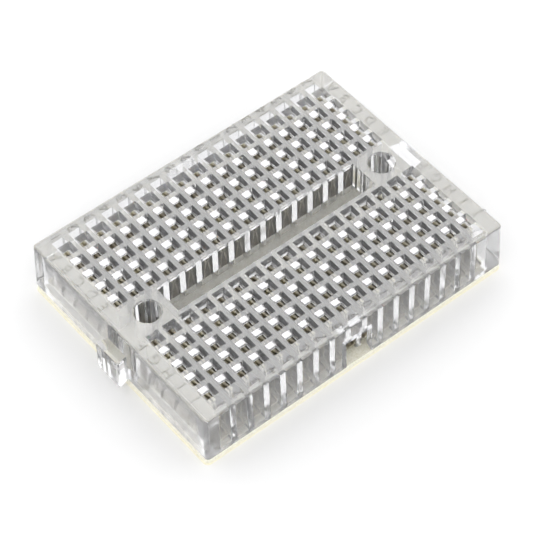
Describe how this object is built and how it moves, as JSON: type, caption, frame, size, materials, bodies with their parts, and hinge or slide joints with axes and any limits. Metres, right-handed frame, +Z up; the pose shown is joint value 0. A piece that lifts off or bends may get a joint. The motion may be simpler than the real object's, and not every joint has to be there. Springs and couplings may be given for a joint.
{
  "type": "solderless breadboard",
  "caption": "Small clear plug-in prototyping block: a grid of square wire holes over spring contact strips, a centre channel, dovetail side locks and an adhesive foam base.",
  "frame": {"origin": "centre of the housing's underside outline, on the lower face of the release liner", "axes": "+X from column 1 to column 17, +Y from row J to row A, +Z up out of the wire holes"},
  "size_m": [0.0488, 0.0367, 0.0085],
  "materials": {
    "clear_plastic": "clear moulded plastic, polished faces",
    "spring_metal": "nickel-plated phosphor bronze strip, satin",
    "foam_tape": "cream closed-cell foam, matt",
    "liner_paper": "waxed release paper, satin"
  },
  "bodies": {
    "root": {"housing": "clear_plastic", "contact_clip_a_e_01": "spring_metal", "contact_clip_a_e_02": "spring_metal", "contact_clip_a_e_03": "spring_metal", "contact_clip_a_e_04": "spring_metal", "contact_clip_a_e_05": "spring_metal", "contact_clip_a_e_06": "spring_metal", "contact_clip_a_e_07": "spring_metal", "contact_clip_a_e_08": "spring_metal", "contact_clip_a_e_09": "spring_metal", "contact_clip_a_e_10": "spring_metal", "contact_clip_a_e_11": "spring_metal", "contact_clip_a_e_12": "spring_metal", "contact_clip_a_e_13": "spring_metal", "contact_clip_a_e_14": "spring_metal", "contact_clip_a_e_15": "spring_metal", "contact_clip_a_e_16": "spring_metal", "contact_clip_a_e_17": "spring_metal", "contact_clip_f_j_01": "spring_metal", "contact_clip_f_j_02": "spring_metal", "contact_clip_f_j_03": "spring_metal", "contact_clip_f_j_04": "spring_metal", "contact_clip_f_j_05": "spring_metal", "contact_clip_f_j_06": "spring_metal", "contact_clip_f_j_07": "spring_metal", "contact_clip_f_j_08": "spring_metal", "contact_clip_f_j_09": "spring_metal", "contact_clip_f_j_10": "spring_metal", "contact_clip_f_j_11": "spring_metal", "contact_clip_f_j_12": "spring_metal", "contact_clip_f_j_13": "spring_metal", "contact_clip_f_j_14": "spring_metal", "contact_clip_f_j_15": "spring_metal", "contact_clip_f_j_16": "spring_metal", "contact_clip_f_j_17": "spring_metal", "adhesive_foam_pad": "foam_tape", "release_liner": "liner_paper"}
  },
  "joints": []
}
